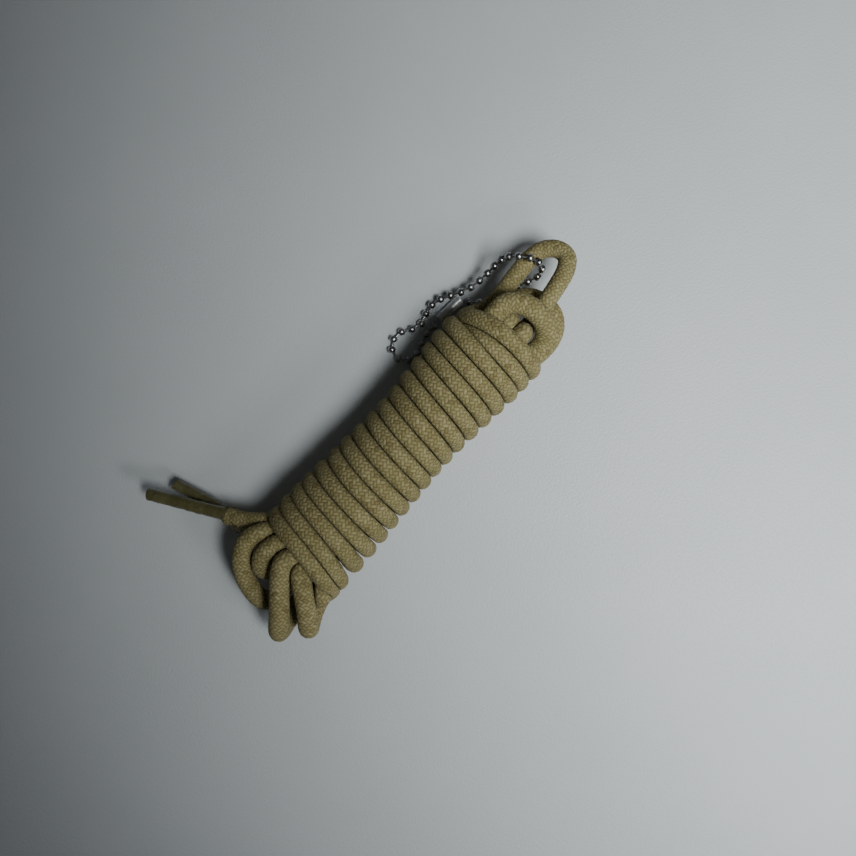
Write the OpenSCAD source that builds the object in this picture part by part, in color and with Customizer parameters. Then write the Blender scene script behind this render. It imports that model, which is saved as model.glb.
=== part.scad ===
// Braided utility cord put up as a hank: the doubled cord runs up and down
// as a bundle of eight strands, is bound with eighteen close turns, and its
// middle stands out as an eye. Both cut ends carry a film tip. A ball chain
// with a snap coupling is looped through the eye.
// X runs along the hank towards the eye, Z is up, and the hank lies on Z = 0.

/* [Cord] */
// Diameter of the braided cord
rope_d = 5.2; // [4.9:0.1:5.2]
// Number of binding turns seen along the hank
turns = 18; // [12:1:22]
// Radius of the bound hank at its two ends
hank_r = 14.6; // [14:0.1:14.6]
// How much thinner the hank is at its waist
waist = 1.1; // [0:0.1:2]
// Radius of the bundle of strands inside the turns
bundle_r = 9.4; // [8.8:0.1:10]
// How deep the grooves between the turns are
groove = 1.1; // [0.4:0.1:1.6]

/* [Film tips] */
// Outer radius of a film tip where the cord enters it
tip_r1 = 1.95; // [1.8:0.05:2.1]
// Outer radius of a film tip at its open end
tip_r2 = 1.55; // [1.4:0.05:1.7]
// Wall thickness of the wound film
tip_wall = 0.3; // [0.2:0.05:0.4]
// Length of the longer film tip
tip_len_a = 24; // [18:0.5:26]
// Length of the shorter film tip
tip_len_b = 17.5; // [14:0.5:20]
// How far the cut cord stops short of the open end
tip_recess = 2.5; // [1:0.5:5]

/* [Ball chain] */
// Diameter of one bead
bead_d = 2.4; // [2.2:0.05:2.4]
// Distance between the centres of two beads
pitch = 3.3; // [3.25:0.01:3.3]
// Wall thickness of a bead
bead_wall = 0.22; // [0.15:0.01:0.3]
// Radius of the hole at each end of a bead
bead_hole = 0.8; // [0.76:0.01:0.84]
// Radius of the link pin between two beads
pin_r = 0.3; // [0.2:0.01:0.34]
// Radius of the head on each end of a link pin
head_r = 0.42; // [0.36:0.01:0.44]
// Length of the snap coupling
clasp_len = 8.8; // [8:0.1:8.8]
// Outer radius of the snap coupling
clasp_r = 1.5; // [1.4:0.05:1.55]

/* [Hidden] */
$fn = 48;
sides = 10;
// puts the middle of the whole object's footprint at the origin
shift = [-3.98, -14.39, 0.005];
x0 = -46;
x1 = 44.2;
cord_colour = [0.70, 0.64, 0.45];
film_colour = [0.52, 0.52, 0.36];
steel_colour = [0.42, 0.43, 0.44];

// routes of the strands outside the binding turns, from the hank and back to it
route_outer = [[-46, 13, 18.5], [-49.5, 14.4, 18.3], [-53.3, 13.6, 17.8], [-57, 11, 16.5],
    [-59.8, 7, 14.5], [-61.6, 2.5, 12], [-62, -0.6, 9], [-60.2, -2.2, 6.3], [-56.5, -2.2, 5],
    [-51, -2, 4.8], [-46, -2, 4.8]];
route_inner = [[-46, 8, 20.8], [-49, 8.4, 20.4], [-51.6, 7.8, 19.2], [-53.6, 6.2, 16.8],
    [-54, 5, 13.6], [-52.8, 4.6, 10.8], [-50, 4.6, 9.6], [-46, 4.6, 9.6]];
route_long = [[-46, 2.6, 23], [-49, 1.7, 23], [-52.5, -0.8, 22.5], [-56.5, -4.2, 21.5],
    [-60.5, -7.4, 19.5], [-64, -9.6, 15.8], [-64.8, -10.2, 11], [-61.5, -9.6, 7],
    [-57, -9, 5.5], [-51.5, -8.6, 5.1], [-46, -8.6, 5]];
route_short = [[-46, -2.8, 22.2], [-48.2, -5.4, 22], [-51.2, -9, 20.8], [-54.6, -12.8, 18.6],
    [-57.8, -15.6, 15], [-58, -15.6, 11.4], [-55.6, -14.2, 9], [-51, -12.6, 9.2],
    [-46, -12, 9.8]];
route_upper = [[44.2, 5.6, 20.6], [49.5, 5.2, 21.2], [52.6, 2, 21.5], [53.7, -3, 21],
    [52.6, -7.8, 19], [49, -10.3, 17], [44.2, -10, 16.2]];
route_lower = [[44.2, 4.2, 7], [50, 4.8, 7], [55, 4, 7.8], [58, 1.2, 9.2], [59, -3.3, 10.2],
    [58.1, -7.5, 10.5], [55, -10.6, 10.3], [50, -11.8, 10], [44.2, -11, 9.5]];
route_eye = [[44.2, 9.3, 11], [48, 8.4, 11.4], [52, 8.3, 11.5], [56, 8.7, 11.4],
    [61, 9.1, 11.4], [66, 9.2, 11.7], [70, 8.1, 12.4], [72.8, 5, 13.4], [72.7, 1.4, 14.4],
    [69.3, -0.9, 15.4], [64.5, -2, 16.6], [60, -2.7, 17.2], [56.2, -3.2, 15.8],
    [53.4, -3.8, 12.2], [50.2, -3.8, 8.4], [47, -3.4, 5.8], [44.2, -3.2, 4.8]];
route_front = [[-46, 11.2, 12.8], [-48.4, 12.4, 12.8], [-49.6, 15.6, 12.5],
    [-49.7, 20.6, 11.8], [-50.6, 25.2, 11]];
route_back = [[-46, 9.6, 7.2], [-48.2, 11, 6.9], [-49.4, 15, 6.5], [-49.8, 20.8, 6.3],
    [-51, 26, 6.4]];
// where the open ends of the two film tips point
aim_front = [-62, 46, 8.5];
aim_back = [-55.5, 43.7, 4.6];

// route of the ball chain, from the bead that the coupling snaps on, under and
// round the eye's leg, down to the surface, and along it in a small ring
route_chain = [[43.3, 17.1, 1.6], [45.3, 14.7, 1.6], [47.1, 12.2, 1.9], [49.6, 10.2, 2.5],
    [52.4, 9, 3.6], [55.4, 7.9, 5.2], [58.4, 6.6, 6.8], [61.2, 5, 8.5], [63.8, 4, 10.2],
    [65.7, 4.5, 12.5], [65.9, 6.7, 15.1], [64.7, 9.4, 16.6], [63, 11.9, 16.2], [61.5, 14, 14.4],
    [60, 15.2, 12], [58, 15.6, 10], [55.5, 15.8, 8], [52.5, 16.1, 6.7], [49.6, 16.6, 5.9],
    [46.9, 17.4, 5.3], [44.6, 18.6, 4.8], [42.2, 20.2, 4], [39.5, 21.6, 2.9],
    [36.5, 22.3, 1.8], [33.7, 21.8, 1.2], [31, 20.9, 1.2], [28.4, 21.3, 1.2],
    [26, 23, 1.2], [23.3, 24.1, 1.2], [20.4, 23.5, 1.2], [18.3, 21.3, 1.2],
    [18.2, 18.3, 1.2], [20.2, 16, 1.2], [23.2, 15.6, 1.2], [26.6, 16.8, 1.2],
    [30, 17.8, 1.2], [33.6, 17.4, 1.3]];

// one point of a Catmull-Rom curve between b and c
function cr(a, b, c, d, t) = 0.5 * (2 * b + (c - a) * t + (2 * a - 5 * b + 4 * c - d) * t * t
    + (3 * b - a - 3 * c + d) * t * t * t);
function knot(p, i) = i < 0 ? 2 * p[0] - p[1]
    : i >= len(p) ? 2 * p[len(p) - 1] - p[len(p) - 2] : p[i];
function curve(p, n) = concat([for (i = [0 : len(p) - 2], k = [0 : n - 1])
    cr(knot(p, i - 1), p[i], p[i + 1], knot(p, i + 2), k / n)], [p[len(p) - 1]]);
function unit(v) = v / norm(v);
// a vector at right angles to t, as close as possible to v
function across(v, t) = unit(v - (v * t) * t);
// direction at each point of a route, with its two ends given
function headings(p, h0, h1) = [for (i = [0 : len(p) - 1])
    i == 0 ? unit(h0) : i == len(p) - 1 ? unit(h1) : unit(p[i + 1] - p[i - 1])];
// a reference direction carried along the route without twist
function carried(t, i = 0, v = [0, 0.3, 1]) = i >= len(t) ? []
    : let (n = across(v, t[i])) concat([n], carried(t, i + 1, n));

// closed tube along a route, with a radius that goes from r0 to r1
module tube(p, h0, h1, r0, r1) {
    t = headings(p, h0, h1);
    n = carried(t);
    m = len(p);
    pts = [for (i = [0 : m - 1], j = [0 : sides - 1])
        let (a = 360 * j / sides, r = r0 + (r1 - r0) * pow(i / (m - 1), 2))
        p[i] + r * (cos(a) * n[i] + sin(a) * cross(t[i], n[i]))];
    faces = concat(
        [[for (j = [0 : sides - 1]) j]],
        [[for (j = [0 : sides - 1]) (m - 1) * sides + sides - 1 - j]],
        [for (i = [0 : m - 2], j = [0 : sides - 1])
            [i * sides + j, (i + 1) * sides + j, (i + 1) * sides + (j + 1) % sides]],
        [for (i = [0 : m - 2], j = [0 : sides - 1])
            [i * sides + j, (i + 1) * sides + (j + 1) % sides, i * sides + (j + 1) % sides]]);
    translate(shift) polyhedron(pts, faces, convexity = 6);
}

// turns an object that stands along Z so that it points from a to b
module aim(a, b) {
    d = b - a;
    translate(shift + a)
        rotate([0, acos(d[2] / norm(d)), atan2(d[1], d[0])]) children();
}

// ---- the bound hank ----
module strand_bundle() {
    color(cord_colour) translate(shift + [x0, 0, hank_r]) rotate([0, 90, 0])
        cylinder(r = bundle_r, h = x1 - x0, $fn = 96);
}

module binding_turns() {
    w = (x1 - x0) / turns;
    steps = [-1, -0.6, 0, 0.6, 1];
    outline = concat([[bundle_r, 0]],
        [for (i = [0 : turns - 1], s = steps)
            if (i == 0 || s > -1)
            let (z = (i + 0.5 + s / 2) * w, u = 2 * z / (x1 - x0) - 1)
            [hank_r - waist * (1 - u * u) - groove * s * s, z]],
        [[bundle_r, x1 - x0]]);
    color(cord_colour) translate(shift + [x0, 0, hank_r]) rotate([0, 90, 0])
        rotate_extrude($fn = 96) polygon(outline);
}

// ---- the bights at the tail end and at the crown ----
module tail_bight_outer() { color(cord_colour) tube(route_outer, [-1, 0, 0], [1, 0, 0], rope_d / 2, rope_d / 2); }
module tail_bight_inner() { color(cord_colour) tube(route_inner, [-1, 0, 0], [1, 0, 0], rope_d / 2, rope_d / 2); }
module tail_bight_long() { color(cord_colour) tube(route_long, [-1, 0, 0], [1, 0, 0], rope_d / 2, rope_d / 2); }
module tail_bight_short() { color(cord_colour) tube(route_short, [-1, 0, 0], [1, 0, 0], rope_d / 2, rope_d / 2); }
module crown_bight_upper() { color(cord_colour) tube(route_upper, [1, 0, 0], [-1, 0, 0], rope_d / 2, rope_d / 2); }
module crown_bight_lower() { color(cord_colour) tube(route_lower, [1, 0, 0], [-1, 0, 0], rope_d / 2, rope_d / 2); }
module eye_loop() { color(cord_colour) tube(route_eye, [1, 0, 0], [-1, 0, 0], rope_d / 2, rope_d / 2); }

// a strand that turns over at once and goes back into the bundle
module tuck(y, z_hi, z_lo, reach) {
    translate(shift + [0, y, 0]) {
        for (z = [z_hi, z_lo]) {
            translate([x1, 0, z]) rotate([0, 90, 0]) cylinder(r = rope_d / 2, h = reach);
            translate([x1 + reach, 0, z]) sphere(r = rope_d / 2);
        }
        translate([x1 + reach, 0, z_lo]) cylinder(r = rope_d / 2, h = z_hi - z_lo);
    }
}
module crown_tuck_left() { color(cord_colour) tuck(1.4, 17.4, 13.4, 2.7); }
module crown_tuck_right() { color(cord_colour) tuck(-3.9, 18.4, 14.4, 3); }

// ---- the two cut ends ----
module tail_front() { color(cord_colour) tube(route_front, [-1, 0, 0], aim_front - route_front[4], rope_d / 2, tip_r1); }
module tail_back() { color(cord_colour) tube(route_back, [-1, 0, 0], aim_back - route_back[4], rope_d / 2, tip_r1); }

// film wound round the end of the cord, open at its far end
module film_tip(a, b, l) {
    aim(a, b) difference() {
        cylinder(r1 = tip_r1, r2 = tip_r2, h = l);
        translate([0, 0, -1]) cylinder(
            r1 = tip_r1 - tip_wall + (tip_r1 - tip_r2) / l,
            r2 = tip_r2 - tip_wall - (tip_r1 - tip_r2) / l, h = l + 2);
    }
}
// the squeezed end of the cord inside its film
module cord_end(a, b, l) {
    lc = l - tip_recess;
    aim(a, b) cylinder(r1 = tip_r1 - tip_wall,
        r2 = tip_r1 - tip_wall - (tip_r1 - tip_r2) * lc / l, h = lc);
}
module film_tip_front() { color(film_colour) film_tip(route_front[4], aim_front, tip_len_a); }
module film_tip_back() { color(film_colour) film_tip(route_back[4], aim_back, tip_len_b); }
module cord_end_front() { color(cord_colour) cord_end(route_front[4], aim_front, tip_len_a); }
module cord_end_back() { color(cord_colour) cord_end(route_back[4], aim_back, tip_len_b); }

// ---- the ball chain ----
// beads stand a fixed distance apart, each on the route
fine = curve(route_chain, 24);
function stride(i, from) = i >= len(fine) ? [] : norm(fine[i] - from) >= pitch
    ? let (d0 = norm(fine[i - 1] - from), d1 = norm(fine[i] - from),
        q = fine[i - 1] + (fine[i] - fine[i - 1]) * (pitch - d0) / (d1 - d0))
        concat([q], stride(i, q))
    : stride(i + 1, from);
beads = concat([fine[0]], stride(1, fine[0]));

// direction of the axis through a bead's two holes
function bore_axis(k) = unit(unit(beads[min(k + 1, len(beads) - 1)] - beads[k] + 0.001 * (beads[k] - beads[max(k - 1, 0)]))
    + unit(beads[k] - beads[max(k - 1, 0)] + 0.001 * (beads[min(k + 1, len(beads) - 1)] - beads[k])));

// hollow bead number k, and the link pin that ties it to the bead before it
module bead(k) {
    c = beads[k];
    color(steel_colour) {
        aim(c, c + bore_axis(k)) difference() {
            sphere(d = bead_d);
            sphere(r = bead_d / 2 - bead_wall);
            translate([0, 0, -bead_d]) cylinder(r = bead_hole, h = 2 * bead_d);
        }
        if (k > 0) {
            from = beads[k - 1];
            seat = head_r + 0.05;
            aim(from, c) translate([0, 0, seat]) union() {
                sphere(r = head_r);
                cylinder(r = pin_r, h = pitch - 2 * seat);
                translate([0, 0, pitch - 2 * seat]) sphere(r = head_r);
            }
        }
    }
}
module bead_01() { bead(0); }
module bead_02() { bead(1); }
module bead_03() { bead(2); }
module bead_04() { bead(3); }
module bead_05() { bead(4); }
module bead_06() { bead(5); }
module bead_07() { bead(6); }
module bead_08() { bead(7); }
module bead_09() { bead(8); }
module bead_10() { bead(9); }
module bead_11() { bead(10); }
module bead_12() { bead(11); }
module bead_13() { bead(12); }
module bead_14() { bead(13); }
module bead_15() { bead(14); }
module bead_16() { bead(15); }
module bead_17() { bead(16); }
module bead_18() { bead(17); }
module bead_19() { bead(18); }
module bead_20() { bead(19); }
module bead_21() { bead(20); }
module bead_22() { bead(21); }
module bead_23() { bead(22); }
module bead_24() { bead(23); }
module bead_25() { bead(24); }
module bead_26() { bead(25); }
module bead_27() { bead(26); }
module bead_28() { bead(27); }
module bead_29() { bead(28); }
module bead_30() { bead(29); }
module bead_31() { bead(30); }
module bead_32() { bead(31); }
module bead_33() { bead(32); }
module bead_34() { bead(33); }
module bead_35() { bead(34); }

// sheet-metal coupling: a tube slotted along one side, so that the pins of the
// beads inside it can leave through its end or its side
clasp_a = [44.1, 17.04, 1.6];
clasp_b = [35.3, 17.6, 1.6];
module snap_coupling() {
    color(steel_colour) aim(clasp_a, clasp_b) difference() {
        cylinder(r = clasp_r, h = clasp_len);
        translate([0, 0, -1]) cylinder(r = clasp_r - 0.25, h = clasp_len + 2);
        // the slot
        translate([-0.5, 0, -1]) cube([1, 3, clasp_len + 2]);
    }
}

strand_bundle();
binding_turns();
tail_bight_outer();
tail_bight_inner();
tail_bight_long();
tail_bight_short();
crown_bight_upper();
crown_bight_lower();
crown_tuck_left();
crown_tuck_right();
eye_loop();
tail_front();
tail_back();
film_tip_front();
film_tip_back();
cord_end_front();
cord_end_back();
bead_01();
bead_02();
bead_03();
bead_04();
bead_05();
bead_06();
bead_07();
bead_08();
bead_09();
bead_10();
bead_11();
bead_12();
bead_13();
bead_14();
bead_15();
bead_16();
bead_17();
bead_18();
bead_19();
bead_20();
bead_21();
bead_22();
bead_23();
bead_24();
bead_25();
bead_26();
bead_27();
bead_28();
bead_29();
bead_30();
bead_31();
bead_32();
bead_33();
bead_34();
bead_35();
snap_coupling();
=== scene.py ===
import math
import bpy
import numpy as np
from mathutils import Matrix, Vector


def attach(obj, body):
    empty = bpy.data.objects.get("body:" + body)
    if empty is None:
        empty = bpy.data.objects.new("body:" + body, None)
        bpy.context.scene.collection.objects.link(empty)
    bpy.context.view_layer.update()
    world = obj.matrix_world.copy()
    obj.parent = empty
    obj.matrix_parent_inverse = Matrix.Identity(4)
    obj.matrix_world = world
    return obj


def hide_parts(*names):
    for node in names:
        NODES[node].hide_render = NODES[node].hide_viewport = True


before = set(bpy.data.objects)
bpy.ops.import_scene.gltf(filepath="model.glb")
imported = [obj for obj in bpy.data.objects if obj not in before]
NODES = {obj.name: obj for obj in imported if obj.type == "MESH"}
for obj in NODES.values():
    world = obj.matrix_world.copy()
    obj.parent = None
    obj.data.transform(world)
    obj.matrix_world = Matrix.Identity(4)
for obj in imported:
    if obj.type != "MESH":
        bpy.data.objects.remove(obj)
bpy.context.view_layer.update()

SHIFT = np.array((-3.98, -14.39, 0.005))      # from the drawing frame (mm) to the row frame
MM = 0.001


def to_row(p):
    """Points in the drawing frame, in mm, to the row frame in metres."""
    return (np.asarray(p, dtype=float) + SHIFT) * MM


# ------------------------------------------------------------------ camera
cam_data = bpy.data.cameras.new("camera")
cam = bpy.data.objects.new("camera", cam_data)
bpy.context.scene.collection.objects.link(cam)
cam.location = to_row((8.56, -2.16, 290.0))
cam.rotation_euler = (0.0, 0.0, math.radians(-47.7))
cam_data.sensor_width = 36.0
cam_data.lens = 36.0 * 290.0 / (856.0 / 3.26)
cam_data.clip_start = 0.01
cam_data.clip_end = 20.0
bpy.context.scene.camera = cam

# ------------------------------------------------------------------ curve helpers


def smooth_line(ctrl, per_mm=4.0):
    """Centripetal spline through the control points; returns points and the control index at each."""
    P = np.asarray(ctrl, dtype=float)
    d = np.linalg.norm(np.diff(P, axis=0), axis=1)
    k = np.sqrt(np.maximum(d, 1e-6))
    v = np.diff(P, axis=0) / k[:, None]
    m = np.empty_like(P)
    m[0], m[-1] = v[0], v[-1]
    m[1:-1] = v[:-1] + v[1:] - (P[2:] - P[:-2]) / (k[:-1] + k[1:])[:, None]
    out, idx = [], []
    for i in range(len(P) - 1):
        n = max(2, int(math.ceil(d[i] * per_mm)))
        t = (np.arange(n) / n)[:, None]
        h00 = 2 * t ** 3 - 3 * t ** 2 + 1
        h10 = t ** 3 - 2 * t ** 2 + t
        h01 = -2 * t ** 3 + 3 * t ** 2
        h11 = t ** 3 - t ** 2
        out.append(h00 * P[i] + h10 * k[i] * m[i] + h01 * P[i + 1] + h11 * k[i] * m[i + 1])
        idx.append(i + t[:, 0])
    out.append(P[-1:])
    idx.append(np.array([len(P) - 1.0]))
    return np.concatenate(out), np.concatenate(idx)


def frames(C):
    """Tangents and two side vectors carried along a line without twist."""
    T = np.gradient(C, axis=0)
    T /= np.linalg.norm(T, axis=1)[:, None]
    N = np.empty_like(C)
    n = np.array((0.0, 0.3, 1.0))
    for i in range(len(C)):
        n = n - np.dot(n, T[i]) * T[i]
        n /= np.linalg.norm(n)
        N[i] = n
    return T, N, np.cross(T, N)


def mesh_from(name, verts, quads, uvs=None, extra=None, smooth=True):
    me = bpy.data.meshes.new(name)
    faces = [tuple(int(a) for a in q) for q in quads]
    if extra:
        faces += extra
    me.from_pydata([tuple(v) for v in verts], [], faces)
    if uvs is not None:
        layer = me.uv_layers.new(name="braid")
        flat = np.zeros((len(me.loops), 2), dtype=np.float32)
        flat[: len(uvs)] = uvs
        layer.data.foreach_set("uv", flat.ravel())
    me.polygons.foreach_set("use_smooth", [smooth] * len(me.polygons))
    me.update()
    o = bpy.data.objects.new(name, me)
    bpy.context.scene.collection.objects.link(o)
    return o


# ------------------------------------------------------------------ the cord's route
HZ = 14.6

route_outer = [(-46, 13, 18.5), (-49.5, 14.4, 18.3), (-53.3, 13.6, 17.8), (-57, 11, 16.5),
    (-59.8, 7, 14.5), (-61.6, 2.5, 12), (-62, -0.6, 9), (-60.2, -2.2, 6.3), (-56.5, -2.2, 5),
    (-51, -2, 4.8), (-46, -2, 4.8)]
route_inner = [(-46, 8, 20.8), (-49, 8.4, 20.4), (-51.6, 7.8, 19.2), (-53.6, 6.2, 16.8),
    (-54, 5, 13.6), (-52.8, 4.6, 10.8), (-50, 4.6, 9.6), (-46, 4.6, 9.6)]
route_long = [(-46, 2.6, 23), (-49, 1.7, 23), (-52.5, -0.8, 22.5), (-56.5, -4.2, 21.5),
    (-60.5, -7.4, 19.5), (-64, -9.6, 15.8), (-64.8, -10.2, 11), (-61.5, -9.6, 7),
    (-57, -9, 5.5)]
route_short = [(-46, -2.8, 22.2), (-48.2, -5.4, 22), (-51.2, -9, 20.8), (-54.6, -12.8, 18.6),
    (-57.8, -15.6, 15), (-58, -15.6, 11.4), (-55.6, -14.2, 9), (-51, -12.6, 9.2)]
route_upper = [(44.2, 5.6, 20.6), (49.5, 5.2, 21.2), (52.6, 2, 21.5), (53.7, -3, 21),
    (52.6, -7.8, 19), (49, -10.3, 17), (44.2, -10, 16.2)]
route_lower = [(44.2, 4.2, 7), (50, 4.8, 7), (55, 4, 7.8), (58, 1.2, 9.2), (59, -3.3, 10.2),
    (58.1, -7.5, 10.5), (55, -10.6, 10.3), (50, -11.8, 10), (44.2, -11, 9.5)]
route_eye = [(44.2, 9.3, 11), (48, 8.4, 11.4), (52, 8.3, 11.5), (56, 8.7, 11.4), (61, 9.1, 11.4),
    (66, 9.2, 11.7), (70, 8.1, 12.4), (72.8, 5, 13.4), (72.7, 1.4, 14.4), (69.3, -0.9, 15.4),
    (64.5, -2, 16.6), (60, -2.7, 17.2), (56.2, -3.2, 15.8), (53.4, -3.8, 12.2), (50.2, -3.8, 8.4),
    (47, -3.4, 5.8), (44.2, -3.2, 4.8)]
base_front, aim_front, len_front = np.array((-50.6, 25.2, 11)), np.array((-62, 46, 8.5)), 24.0
base_back, aim_back, len_back = np.array((-51, 26, 6.4)), np.array((-55.5, 43.7, 4.6)), 17.5

# where each binding turn lies along the hank: on its near side, on top, on its far side
turns_a = [(-42.3, -35.85, -35), (-29.2, -26.6, -25.8), (-18.6, -17.2, -15.1),
    (-8.5, -7.3, -5.4), (1, 2.6, 5.1), (10.7, 12.8, 15.5), (21.3, 22.9, 25.8),
    (31.8, 32.7, 35.3), (41.3, 42.5, 38.8)]
turns_b = [(-45.8, -39.9, -39.6), (-35.2, -31.1, -30), (-23.7, -22, -20.6),
    (-13.5, -12.3, -10.3), (-3.7, -2.3, 0.1), (5.7, 7.65, 10.1), (16, 17.9, 20.8),
    (26.4, 27.8, 30.3), (36.4, 37.4, 37.4)]


def half_width(x):
    return np.interp(x, (-50, -42, -30, -20, -10, 0, 10, 20, 30, 40, 46),
                     (15.7, 15.6, 15.3, 14.7, 14.0, 13.5, 13.6, 14.3, 15.3, 15.6, 15.3))


def half_height(x):
    return np.interp(x, (-50, -40, -20, 0, 20, 40, 46),
                     (14.55, 14.55, 14.1, 13.7, 14.1, 14.55, 14.4))


def binding(turns, dive=()):
    """Points of one strand round the hank, from its near side in the first turn to its far side in the last."""
    q = []
    for i, (xm, xt, xp) in enumerate(turns):
        q += [xm, xt, xp]
        if i + 1 < len(turns):
            q.append((xp + turns[i + 1][0]) / 2)
    q = np.array(q)
    at = np.arange(len(q))
    ph = np.arange(0, len(q) - 1 + 1e-6, 1 / 6.0)
    # smooth along the hank, so that a turn has no corner at a quarter
    xs = np.interp(ph, at, q)
    ext = np.concatenate([np.full(3, xs[0]), xs, np.full(3, xs[-1])])
    kern = np.array((1, 2, 3, 4, 3, 2, 1.0)); kern /= kern.sum()
    xs = np.convolve(ext, kern, mode="valid")
    pts = []
    for f, x in zip(ph, xs):
        a = f * math.pi / 2
        ry, rz = half_width(x) - 2.68, half_height(x) - 2.68
        for (f0, f1, amount) in dive:
            t = min(max((f - f0) / (f1 - f0), 0.0), 1.0)
            s = amount * t * t * (3 - 2 * t)
            ry += s
            rz += s
        pts.append((x, -ry * math.cos(a), HZ + rz * math.sin(a)))
    return pts


def lane(entry, mid, leave):
    """Points of a strand inside the binding turns, from the tail end to the crown."""
    e, m, l = (np.array(v, dtype=float) for v in (entry, mid, leave))
    out = []
    for x, f, g in ((-43, e, 0.22), (-38.5, e, 0.72), (-32, e, 1), (-20, e, 1), (-7, e, 1),
                    (7, l, 1), (20, l, 1), (31, l, 1), (37, l, 0.85), (41.2, l, 0.4)):
        y, z = f + (m - f) * g
        out.append((x, y, z))
    return out


def lane_back(entry, mid, leave):
    return lane(entry, mid, leave)[::-1]


def tuck(y, hi, lo):
    return [(44.2, y, hi), (46.8, y, hi - 0.3), (47.8, y, (hi + lo) / 2), (46.8, y, lo + 0.3),
            (44.2, y, lo)]


def yz(p):
    return p[1:]


ctrl, rad, hidden = [], [], []


def put(points, r, h=False):
    for p in points:
        ctrl.append(tuple(float(a) for a in p))
        rad.append(r)
        hidden.append(h)


d_front = (aim_front - base_front) / np.linalg.norm(aim_front - base_front)
d_back = (aim_back - base_back) / np.linalg.norm(aim_back - base_back)
put([base_front + d_front * (len_front - 2.5 - k) for k in (0, 4, 8, 12, 16)], 1.42)
put([base_front + d_front * 2], 1.5)
put([base_front + d_front * 0.2], 1.8)
put([(-50.2, 23.9, 11.3), (-48.9, 21.4, 12.2)], 2.65)
put([(-46.4, 17.8, 13.4), (-43.4, 14.4, 14.6), (-41.6, 11.6, 15.2)], 2.7)
put([(-39, 8.6, 15.8), (-34, 5.9, 16.4), (-20, 5.7, 16.5), (-7, 5.7, 16.5), (7, 5.7, 16.5),
     (20, 5.7, 16.5), (31, 5.7, 16.8), (37, 5.7, 17.6), (41.2, 5.6, 19.4)], 2.6, True)
put(route_upper, 3.15)
put(lane_back((-3, 4.8), (-4.3, 10.5), (-10, 16.2)), 2.6, True)
put(route_outer[::-1], 2.85)
put(lane((13, 18.5), (5, 11.3), (4.2, 7)), 2.6, True)
put(route_lower, 2.72)
put(lane_back((2.6, 23), (-5.9, 15.4), (-11, 9.5)), 2.6, True)
put(route_long, 2.95)
put([(-53.2, -8.7, 5.6), (-51, -8.6, 8.4), (-50.4, -10, 12)], 2.8)
put([(-49.7, -12, 15.6), (-47.6, -12.3, 18.8), (-44.8, -10.4, 19.8)], 2.65)
put([(-42, -8.4, 17.4), (-40.6, -7.6, 12.6), (-40.8, -8.4, 8.4), (-42.2, -10.8, 7.0),
     (-42.9, -12.7, 9.4)], 2.6)
put(binding(turns_a, dive=((32.9, 34.0, -1.7),))[:-1], 2.72)
put([(40.2, 11.3, 13.6), (42.2, 10.4, 12.0)], 2.7)
put(route_eye, 2.66)
put([(40.8, -2.0, 5.4), (38.4, 2.0, 6.8), (37.6, 6.6, 9.8)], 2.6, True)
put(binding(turns_b, dive=((32.7, 33.6, -3.2),))[::-1], 2.72)
put([(-47.1, -12.8, 11.8), (-48.6, -12.5, 9.4)], 2.7)
put(route_short[::-1], 2.95)
put(lane((-2.8, 22.2), (-3.1, 19.8), (-3.9, 18.4)), 2.6, True)
put(tuck(-3.9, 18.4, 14.4), 3.0)
put(lane_back((4.6, 9.6), (0, 14.6), (-3.9, 14.4)), 2.6, True)
put(route_inner[::-1], 2.72)
put(lane((8, 20.8), (2.1, 20.2), (1.4, 17.4)), 2.6, True)
put(tuck(1.4, 17.4, 13.4), 3.05)
put(lane_back((9.6, 7.2), (0.5, 8.6), (1.4, 13.4)), 2.6, True)
put([(-46, 9.6, 7.2), (-48.2, 11, 6.9), (-49.4, 15, 6.5), (-49.8, 20.8, 6.3)], 2.6)
put([(-50.4, 23.9, 6.4)], 2.4)
put([base_back + d_back * 0.2], 1.75)
put([base_back + d_back * k for k in (2, 5, 8.5, 12, 15)], 1.42)

dense, where = smooth_line(ctrl, 8.0)


def blur(P, sigma):
    k = np.exp(-0.5 * (np.arange(-3 * sigma, 3 * sigma + 1) / sigma) ** 2)
    k /= k.sum()
    pad = np.concatenate([np.repeat(P[:1], 3 * sigma, 0), P, np.repeat(P[-1:], 3 * sigma, 0)])
    return np.stack([np.convolve(pad[:, c], k, mode="valid") for c in range(3)], axis=1)


# the hidden run inside the turns is eased more than the run that shows
hid_dense = np.interp(where, np.arange(len(hidden)), np.array(hidden, dtype=float))
ease = np.convolve(np.pad(hid_dense, 20, mode="edge"), np.ones(41) / 41, mode="valid")[:, None]
dense = blur(dense, 6) * (1 - ease) + blur(dense, 16) * ease
dense = blur(dense, 3)
arc = np.concatenate([[0], np.cumsum(np.linalg.norm(np.diff(dense, axis=0), axis=1))])
rad_at = np.interp(where, np.arange(len(rad)), rad)
hid_at = np.interp(where, np.arange(len(hidden)), np.array(hidden, dtype=float))
# ring spacing: fine where the cord shows
STEP = 0.34
w = np.where(hid_at > 0.98, 1 / 2.2, 1 / STEP)
cum = np.concatenate([[0], np.cumsum(0.5 * (w[1:] + w[:-1]) * np.diff(arc))])
n_rings = int(cum[-1]) + 1
marks = np.linspace(0, cum[-1], n_rings)
s_ring = np.interp(marks, cum, arc)
C = np.stack([np.interp(s_ring, arc, dense[:, k]) for k in range(3)], axis=1)
R = np.interp(s_ring, arc, rad_at)

SEG = 48
T, NV, BV = frames(C)
u = np.arange(SEG) / SEG
ang = u * 2 * math.pi
STITCH = 1.05


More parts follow.
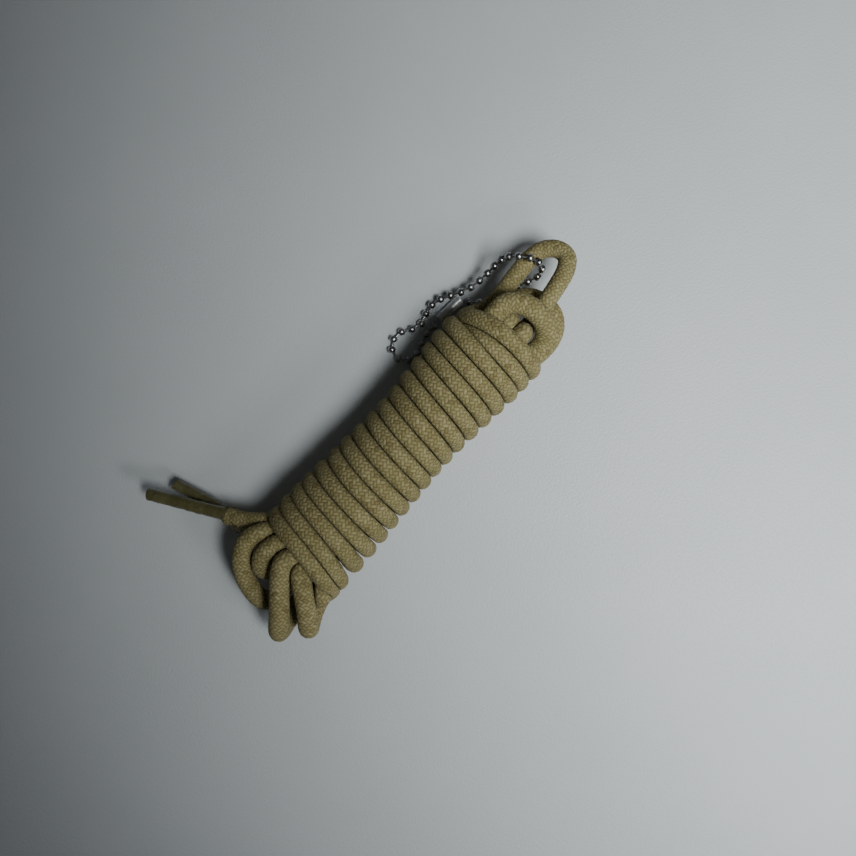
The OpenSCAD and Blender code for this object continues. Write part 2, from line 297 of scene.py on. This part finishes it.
def braid_height(uu, ss):
    """Height of a 24-carrier, two over two, braid: 0 in the crevices, 1 on a float's crown."""
    p = 12 * uu + ss / STITCH
    q = 12 * uu - ss / STITCH
    i, j = np.floor(p), np.floor(q)
    d = np.mod(j - i, 4)
    left = d < 2
    tl = np.mod(q - i, 4) - 1
    tr = np.mod(p - j, 4) - 2
    xl, xr = 2 * (p - i) - 1, 2 * (q - j) - 1
    hl = np.sqrt(1 - 0.9 * xl ** 2) * (0.35 + 0.65 * np.cos(tl * math.pi / 2 * 0.92))
    hr = np.sqrt(1 - 0.9 * xr ** 2) * (0.35 + 0.65 * np.cos(tr * math.pi / 2 * 0.92))
    return np.where(left, hl, hr)


H = braid_height(u[None, :], s_ring[:, None])
lump = 0.05 * np.sin(s_ring / 7.3) + 0.04 * np.sin(s_ring / 3.1 + 1.0)
rr = R[:, None] + lump[:, None] + 0.16 * (H - 0.62)
thin = (R < 2.0)[:, None]
rr = np.where(thin, R[:, None] + 0.1 * (H - 0.62), rr)
V = C[:, None, :] + rr[..., None] * (np.cos(ang)[None, :, None] * NV[:, None, :]
                                     + np.sin(ang)[None, :, None] * BV[:, None, :])
# press neighbouring strands flat against each other, half way between their centres
CF = C.astype(np.float32)
for a in range(0, n_rings):
    dif = CF - CF[a]
    dist = np.sqrt((dif ** 2).sum(1))
    near = np.where((dist < 6.6) & (dist > 0.5) & (np.abs(s_ring - s_ring[a]) > 11.0))[0]
    if len(near) == 0:
        continue
    near = near[::2] if len(near) > 6 else near
    n = dif[near] / dist[near][:, None]
    share = R[a] / (R[a] + R[near])
    lim = np.maximum(dist[near] * share - 0.05, 0.9)
    rel = V[a] - C[a]
    for _ in range(2):
        over = rel @ n.T - lim[None, :]
        k = np.argmax(over, axis=1)
        o = over[np.arange(SEG), k]
        push = np.where(o > -0.35, (o + 0.35) ** 2 / 1.4, 0.0)
        push = np.where(o > 0.35, o, push)
        push = np.maximum(push, 0)
        rel = rel - push[:, None] * n[k]
    V[a] = C[a] + rel
V[..., 2] = np.maximum(V[..., 2], 0.06)

verts = np.concatenate([V.reshape(-1, 3), C[:1], C[-1:]])
ring = np.arange(n_rings - 1)[:, None] * SEG
j0 = np.arange(SEG)[None, :]
j1 = (np.arange(SEG)[None, :] + 1) % SEG
quads = np.stack([ring + j0, ring + j1, ring + SEG + j1, ring + SEG + j0], axis=-1).reshape(-1, 4)
vv = s_ring * 0.01
uv = np.stack([
    np.stack([np.broadcast_to(u[None, :], (n_rings - 1, SEG)),
              np.broadcast_to(vv[:-1, None], (n_rings - 1, SEG))], -1),
    np.stack([np.broadcast_to(u[None, :] + 1 / SEG, (n_rings - 1, SEG)),
              np.broadcast_to(vv[:-1, None], (n_rings - 1, SEG))], -1),
    np.stack([np.broadcast_to(u[None, :] + 1 / SEG, (n_rings - 1, SEG)),
              np.broadcast_to(vv[1:, None], (n_rings - 1, SEG))], -1),
    np.stack([np.broadcast_to(u[None, :], (n_rings - 1, SEG)),
              np.broadcast_to(vv[1:, None], (n_rings - 1, SEG))], -1)], axis=2).reshape(-1, 2)
nv = n_rings * SEG
caps = [(nv, (j + 1) % SEG, j) for j in range(SEG)]
last = (n_rings - 1) * SEG
caps += [(nv + 1, last + j, last + (j + 1) % SEG) for j in range(SEG)]
rope = mesh_from("cord", to_row(verts), quads, uv, caps)

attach(rope, "hank")
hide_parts("strand_bundle", "binding_turns", "tail_bight_outer", "tail_bight_inner",
            "tail_bight_long", "tail_bight_short", "crown_bight_upper", "crown_bight_lower",
            "crown_tuck_left", "crown_tuck_right", "eye_loop", "tail_front", "tail_back",
            "cord_end_front", "cord_end_back")

# ------------------------------------------------------------------ material helpers


class Graph:
    def __init__(self, name):
        self.mat = bpy.data.materials.new(name)
        self.mat.use_nodes = True
        self.nt = self.mat.node_tree
        self.nt.nodes.clear()
        self.out = self.nt.nodes.new("ShaderNodeOutputMaterial")
        self.bsdf = self.nt.nodes.new("ShaderNodeBsdfPrincipled")
        self.nt.links.new(self.bsdf.outputs[0], self.out.inputs["Surface"])

    def link(self, a, b):
        if isinstance(a, bpy.types.NodeSocket):
            self.nt.links.new(a, b)
        else:
            b.default_value = a

    def math(self, op, a, b=None, c=None, clamp=False):
        n = self.nt.nodes.new("ShaderNodeMath")
        n.operation = op
        n.use_clamp = clamp
        self.link(a, n.inputs[0])
        if b is not None:
            self.link(b, n.inputs[1])
        if c is not None:
            self.link(c, n.inputs[2])
        return n.outputs[0]

    def mix(self, f, a, b, kind="MIX"):
        n = self.nt.nodes.new("ShaderNodeMix")
        n.data_type = "RGBA"
        n.blend_type = kind
        self.link(f, n.inputs[0])
        for v, s in ((a, n.inputs[6]), (b, n.inputs[7])):
            if isinstance(v, tuple):
                s.default_value = (v[0], v[1], v[2], 1.0)
            else:
                self.link(v, s)
        return n.outputs[2]

    def noise(self, vec, scale, detail=2.0, rough=0.5):
        n = self.nt.nodes.new("ShaderNodeTexNoise")
        if vec is not None:
            self.nt.links.new(vec, n.inputs["Vector"])
        n.inputs["Scale"].default_value = scale
        n.inputs["Detail"].default_value = detail
        n.inputs["Roughness"].default_value = rough
        return n.outputs["Fac"]

    def white(self, x, y, z=0.0):
        c = self.nt.nodes.new("ShaderNodeCombineXYZ")
        self.link(x, c.inputs[0])
        self.link(y, c.inputs[1])
        self.link(z, c.inputs[2])
        n = self.nt.nodes.new("ShaderNodeTexWhiteNoise")
        n.noise_dimensions = "3D"
        self.nt.links.new(c.outputs[0], n.inputs["Vector"])
        return n.outputs["Value"]

    def ramp(self, f, a0, a1, b0, b1):
        n = self.nt.nodes.new("ShaderNodeMapRange")
        n.clamp = True
        self.link(f, n.inputs[0])
        for k, v in enumerate((a0, a1, b0, b1)):
            n.inputs[k + 1].default_value = v
        return n.outputs[0]

    def bump(self, height, strength, distance, normal=None):
        n = self.nt.nodes.new("ShaderNodeBump")
        n.inputs["Strength"].default_value = strength
        n.inputs["Distance"].default_value = distance
        self.nt.links.new(height, n.inputs["Height"])
        if normal is not None:
            self.nt.links.new(normal, n.inputs["Normal"])
        return n.outputs[0]

    def coords(self, kind="Object"):
        n = self.nt.nodes.new("ShaderNodeTexCoord")
        return n.outputs[kind]


# ------------------------------------------------------------------ the braid's look
g = Graph("braided_cotton")
uvn = g.nt.nodes.new("ShaderNodeUVMap")
uvn.uv_map = "braid"
sep = g.nt.nodes.new("ShaderNodeSeparateXYZ")
g.nt.links.new(uvn.outputs[0], sep.inputs[0])
U, S = sep.outputs[0], sep.outputs[1]
u12 = g.math("MULTIPLY", U, 12.0)
sl = g.math("MULTIPLY", S, 100.0 / STITCH)
p = g.math("ADD", u12, sl)
q = g.math("SUBTRACT", u12, sl)
ip, iq = g.math("FLOOR", p), g.math("FLOOR", q)
d = g.math("FLOORED_MODULO", g.math("SUBTRACT", iq, ip), 4.0)
left = g.math("LESS_THAN", d, 1.5)
tl_raw = g.math("SUBTRACT", q, ip)
tr_raw = g.math("SUBTRACT", p, iq)
tl = g.math("SUBTRACT", g.math("FLOORED_MODULO", tl_raw, 4.0), 1.0)
tr = g.math("SUBTRACT", g.math("FLOORED_MODULO", tr_raw, 4.0), 2.0)
xl = g.math("MULTIPLY_ADD", g.math("FRACT", p), 2.0, -1.0)
xr = g.math("MULTIPLY_ADD", g.math("FRACT", q), 2.0, -1.0)


def crown(x, t):
    across = g.math("SQRT", g.math("MULTIPLY_ADD", g.math("MULTIPLY", x, x), -0.9, 1.0))
    along = g.math("MULTIPLY_ADD", g.math("COSINE", g.math("MULTIPLY", t, math.pi / 2 * 0.92)),
                   0.65, 0.35)
    return g.math("MULTIPLY", across, along)


def pick(a, b):
    """a where the left-hand yarn is on top, else b."""
    return g.math("ADD", g.math("MULTIPLY", a, left),
                  g.math("MULTIPLY", b, g.math("SUBTRACT", 1.0, left)))


height = pick(crown(xl, tl), crown(xr, tr))
across = pick(xl, xr)
along = pick(tl, tr)
yarn = pick(g.math("FLOORED_MODULO", ip, 12.0),
            g.math("ADD", g.math("FLOORED_MODULO", iq, 12.0), 20.0))
stitch_id = pick(g.math("FLOOR", g.math("DIVIDE", tl_raw, 4.0)),
                 g.math("FLOOR", g.math("DIVIDE", tr_raw, 4.0)))
rnd = g.white(yarn, stitch_id)
rnd2 = g.white(yarn, stitch_id, 7.0)
yarn_rnd = g.white(yarn, 3.0, 11.0)
# plies of one yarn, slightly slanted across it
plies = g.math("SINE", g.math("MULTIPLY_ADD", across, 9.0, g.math("MULTIPLY", along, 2.0)))
obj = g.coords()
fibre = g.noise(obj, 5200.0, 2.0, 0.6)
blotch = g.noise(obj, 170.0, 2.0, 0.5)
hgt = g.math("ADD", g.math("ADD", height, g.math("MULTIPLY", plies, 0.06)),
             g.math("MULTIPLY", fibre, 0.22))
# colour: two tones of khaki yarn, paler on a float's crown as a painted highlight, dark in the crevices as
# painted shade
tone = g.math("ADD", g.math("MULTIPLY", rnd, 0.62), g.math("MULTIPLY", yarn_rnd, 0.38))
c1 = g.mix(tone, (0.262, 0.217, 0.093), (0.372, 0.322, 0.158))
c2 = g.mix(g.ramp(rnd2, 0.80, 0.98, 0.0, 0.55), c1, (0.45, 0.39, 0.21))
c2 = g.mix(g.ramp(rnd2, 0.14, 0.02, 0.0, 0.55), c2, (0.14, 0.10, 0.033))
c2 = g.mix(g.ramp(blotch, 0.35, 0.7, 0.0, 0.28), c2, (0.24, 0.225, 0.085))
# painted shade and painted highlight: the colour follows the braid's relief, darkened down to 0.46 in the
# crevices and lifted to 1.08 on the crowns
painted_shade = g.ramp(hgt, 0.28, 1.0, 0.46, 1.08)
c3 = g.mix(1.0, c2, painted_shade, "MULTIPLY")
g.link(c3, g.bsdf.inputs["Base Color"])
g.link(g.ramp(fibre, 0.3, 0.7, 0.74, 0.92), g.bsdf.inputs["Roughness"])
g.bsdf.inputs["Specular IOR Level"].default_value = 0.15
g.bsdf.inputs["Sheen Weight"].default_value = 0.05
g.bsdf.inputs["Sheen Roughness"].default_value = 0.45
g.link(g.bump(hgt, 0.75, 0.00022), g.bsdf.inputs["Normal"])
rope.data.materials.append(g.mat)

# ------------------------------------------------------------------ film tips


def film_tip(name, base, aim, length, r1, r2, seed, flat):
    """Clear film wound round the cord's end: lapped turns, pressed a little flat, open at its end."""
    dirn = (aim - base) / np.linalg.norm(aim - base)
    side = np.cross(dirn, (0, 0, 1.0)); side /= np.linalg.norm(side)
    up = np.cross(side, dirn)
    nl, ns = 110, 56
    t = np.linspace(0, 1, nl)
    th = np.arange(ns) / ns * 2 * math.pi
    rng = np.random.RandomState(seed)
    amp = rng.uniform(0.008, 0.03, 6)
    pha = rng.uniform(0, 6.28, 6)
    out = []

    def skin(shrink):
        r = r1 + (r2 - r1) * t[:, None] - shrink
        zz = t[:, None] * length
        r = r + sum(amp[k] * np.sin((k + 1) * th[None, :] * (1 if k < 3 else 0) + zz * (0.5 + 0.35 * k)
                                    + pha[k]) for k in range(6))
        # the edge of each lap of the film
        lap = np.mod(zz / 3.1 + th[None, :] / (2 * math.pi), 1.0)
        r = r + 0.07 * (1 - lap) * (shrink < 0.05)
        ex = 1 + flat * t[:, None]
        x = r * np.cos(th)[None, :] * ex
        y = r * np.sin(th)[None, :] / ex
        mid = base[None, None, :] + dirn[None, None, :] * zz[..., None]
        # the open end is cut a little aslant
        mid = mid + dirn[None, None, :] * (0.35 * np.sin(th + pha[0]))[None, :, None] * (t[:, None, None] ** 6)
        return mid + x[..., None] * side + y[..., None] * up

    outer, inner = skin(0.0), skin(0.16)
    verts = np.concatenate([outer.reshape(-1, 3), inner.reshape(-1, 3)])
    n = nl * ns
    q = []
    for i in range(nl - 1):
        for j in range(ns):
            k = (j + 1) % ns
            q.append((i * ns + j, i * ns + k, (i + 1) * ns + k, (i + 1) * ns + j))
            q.append((n + i * ns + j, n + (i + 1) * ns + j, n + (i + 1) * ns + k, n + i * ns + k))
    for j in range(ns):
        k = (j + 1) % ns
        q.append((j, n + j, n + k, k))
        e = (nl - 1) * ns
        q.append((e + j, e + k, n + e + k, n + e + j))
    o = mesh_from(name, to_row(verts), q)
    return o


tip_a = film_tip("film_front", base_front, aim_front, len_front, 1.95, 1.55, 3, 0.10)
tip_b = film_tip("film_back", base_back, aim_back, len_back, 1.92, 1.58, 5, 0.08)

g = Graph("wound_film")
obj = g.coords()
cl = g.noise(obj, 190.0, 2.0, 0.5)
streak = g.noise(obj, 1500.0, 2.0, 0.5)
c = g.mix(g.ramp(cl, 0.35, 0.65, 0.0, 1.0), (0.098, 0.090, 0.034), (0.138, 0.130, 0.058))
c = g.mix(g.ramp(streak, 0.5, 0.8, 0.0, 0.25), c, (0.26, 0.26, 0.16))
g.link(c, g.bsdf.inputs["Base Color"])
g.link(g.ramp(cl, 0.3, 0.7, 0.20, 0.42), g.bsdf.inputs["Roughness"])
g.bsdf.inputs["Coat Weight"].default_value = 0.35
g.bsdf.inputs["Coat Roughness"].default_value = 0.15
g.bsdf.inputs["Alpha"].default_value = 0.96
g.link(g.bump(streak, 0.35, 0.00008), g.bsdf.inputs["Normal"])
film_mat = g.mat
for o, n in ((tip_a, "film_tip_front"), (tip_b, "film_tip_back")):
    o.data.materials.append(film_mat)
    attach(o, "hank")
    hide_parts(n)

# ------------------------------------------------------------------ frayed threads at the film's base


def thread_mesh(name, lines, r):
    verts, quads, base = [], [], 0
    m = 8
    for line in lines:
        L, _ = smooth_line(line, 4.0)
        t, n, b = frames(L)
        a = np.arange(m) / m * 2 * math.pi
        taper = np.ones(len(L)); taper[-1] = 0.35; taper[0] = 0.5
        ring_v = L[:, None, :] + r * taper[:, None, None] * (
            np.cos(a)[None, :, None] * n[:, None, :] + np.sin(a)[None, :, None] * b[:, None, :])
        verts.append(ring_v.reshape(-1, 3))
        for i in range(len(L) - 1):
            for j in range(m):
                k = (j + 1) % m
                quads.append((base + i * m + j, base + i * m + k,
                              base + (i + 1) * m + k, base + (i + 1) * m + j))
        quads.append(tuple(base + j for j in range(m))[::-1])
        quads.append(tuple(base + (len(L) - 1) * m + j for j in range(m)))
        base += len(L) * m
    me = bpy.data.meshes.new(name)
    me.from_pydata([tuple(v) for v in to_row(np.concatenate(verts))], [],
                   [tuple(int(x) for x in f) for f in quads])
    me.polygons.foreach_set("use_smooth", [True] * len(me.polygons))
    me.update()
    o = bpy.data.objects.new(name, me)
    bpy.context.scene.collection.objects.link(o)
    return o


threads = thread_mesh("frayed_threads", [
    [(-51.9, 25.2, 11.6), (-52.0, 22.8, 12.2), (-51.6, 20.4, 13.8), (-50.6, 17.6, 16.4)],
    [(-51.6, 24.9, 12.2), (-51.2, 22.4, 13.4), (-51.6, 20.0, 14.4), (-51.2, 18.2, 15.6)],
    [(-50.8, 24.6, 12.8), (-50.6, 21.8, 14.4), (-50.0, 19.2, 15.6), (-49.8, 16.8, 17.6)],
    [(-49.9, 23.8, 13.4), (-50.6, 20.8, 14.6), (-50.2, 19.0, 15.9), (-49.2, 17.6, 17.4)],
    [(-52.0, 25.2, 10.8), (-51.4, 23.2, 12.2), (-50.4, 21.4, 14.4), (-51.8, 19.6, 13.6)],
    [(-50.9, 25.0, 12.6), (-51.8, 22.0, 13.2), (-50.9, 20.6, 14.6), (-50.6, 18.4, 17.2)],
], 0.13)
g = Graph("loose_thread")
obj = g.coords()
n1 = g.noise(obj, 900.0, 2.0, 0.5)
g.link(g.mix(g.ramp(n1, 0.3, 0.7, 0.0, 1.0), (0.06, 0.05, 0.02), (0.20, 0.17, 0.08)),
       g.bsdf.inputs["Base Color"])
g.link(g.ramp(n1, 0.3, 0.7, 0.6, 0.85), g.bsdf.inputs["Roughness"])
threads.data.materials.append(g.mat)
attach(threads, "hank")

# ------------------------------------------------------------------ ball chain and coupling
g = Graph("dark_nickel")
obj = g.coords()
n1 = g.noise(obj, 700.0, 3.0, 0.6)
n2 = g.noise(obj, 2600.0, 2.0, 0.6)
c = g.mix(g.ramp(n1, 0.35, 0.65, 0.0, 1.0), (0.30, 0.30, 0.305), (0.56, 0.555, 0.55))
c = g.mix(g.ramp(n2, 0.55, 0.75, 0.0, 0.5), c, (0.10, 0.095, 0.09))
g.link(c, g.bsdf.inputs["Base Color"])
g.bsdf.inputs["Metallic"].default_value = 1.0
g.link(g.ramp(n1, 0.3, 0.7, 0.24, 0.38), g.bsdf.inputs["Roughness"])
g.link(g.bump(n2, 0.25, 0.00004), g.bsdf.inputs["Normal"])
chain_mat = g.mat
g = Graph("satin_steel")
obj = g.coords()
n1 = g.noise(obj, 500.0, 3.0, 0.6)
n2 = g.noise(obj, 3200.0, 2.0, 0.6)
c = g.mix(g.ramp(n1, 0.35, 0.65, 0.0, 1.0), (0.56, 0.565, 0.57), (0.74, 0.74, 0.735))
g.link(c, g.bsdf.inputs["Base Color"])
g.bsdf.inputs["Metallic"].default_value = 0.7
g.link(g.ramp(n2, 0.3, 0.7, 0.34, 0.52), g.bsdf.inputs["Roughness"])
g.link(g.bump(n2, 0.3, 0.00003), g.bsdf.inputs["Normal"])
steel_mat = g.mat
for name, o in NODES.items():
    if name.startswith("bead_"):
        o.data.materials.clear()
        o.data.materials.append(chain_mat)
        o.data.polygons.foreach_set("use_smooth", [True] * len(o.data.polygons))
    elif name == "snap_coupling":
        o.data.materials.clear()
        o.data.materials.append(steel_mat)

# ------------------------------------------------------------------ table and light
bpy.ops.mesh.primitive_plane_add(size=2.4, location=(0.0, 0.0, 0.0))
floor = bpy.context.object
floor.name = "table"
g = Graph("pale_table")
obj = g.coords()
n1 = g.noise(obj, 18.0, 3.0, 0.6)
n2 = g.noise(obj, 1300.0, 2.0, 0.5)
c = g.mix(g.ramp(n1, 0.3, 0.7, 0.0, 1.0), (0.60, 0.635, 0.65), (0.64, 0.67, 0.685))
g.link(c, g.bsdf.inputs["Base Color"])
g.link(g.ramp(n2, 0.3, 0.7, 0.42, 0.55), g.bsdf.inputs["Roughness"])
g.bsdf.inputs["Specular IOR Level"].default_value = 0.4
g.link(g.bump(n2, 0.4, 0.0003), g.bsdf.inputs["Normal"])
floor.data.materials.append(g.mat)

IR = np.array((0.673, -0.740, 0.0))      # image right, in the table's plane
IU = np.array((0.740, 0.673, 0.0))       # image up
MID = to_row((8.56, -2.16, 0.0))


def area_light(name, right, up, height, size, power, colour, look=(0.0, 0.0)):
    data = bpy.data.lights.new(name, "AREA")
    data.shape = "RECTANGLE"
    data.size, data.size_y = size
    data.energy = power
    data.color = colour
    o = bpy.data.objects.new(name, data)
    bpy.context.scene.collection.objects.link(o)
    pos = MID + IR * right + IU * up + np.array((0, 0, height))
    tgt = MID + IR * look[0] + IU * look[1]
    o.location = pos
    o.rotation_euler = Vector(tuple(tgt - pos)).to_track_quat("-Z", "Y").to_euler()
    return o


glow = area_light("glow", 0.20, -0.22, 0.25, (0.10, 0.10), 0.30, (0.96, 0.99, 1.0), (0.16, -0.18))
glow.visible_camera = False

# a broad soft head from the right, whose edge falls across the left of the table
head = bpy.data.lights.new("key", "SPOT")
head.energy = 15.5
head.color = (0.97, 1.0, 1.0)
head.spot_size = math.radians(50.0)
head.spot_blend = 0.55
head.shadow_soft_size = 0.13
key = bpy.data.objects.new("key", head)
bpy.context.scene.collection.objects.link(key)
key_at = MID + IR * 0.25 + IU * -0.12 + np.array((0, 0, 0.55))
key_to = MID + IR * 0.17 + IU * 0.02
key.location = key_at
key.rotation_euler = Vector(tuple(key_to - key_at)).to_track_quat("-Z", "Y").to_euler()

world = bpy.data.worlds.new("studio")
world.use_nodes = True
bg = world.node_tree.nodes["Background"]
bg.inputs[0].default_value = (0.92, 0.97, 1.0, 1.0)
bg.inputs[1].default_value = 0.045
bpy.context.scene.world = world
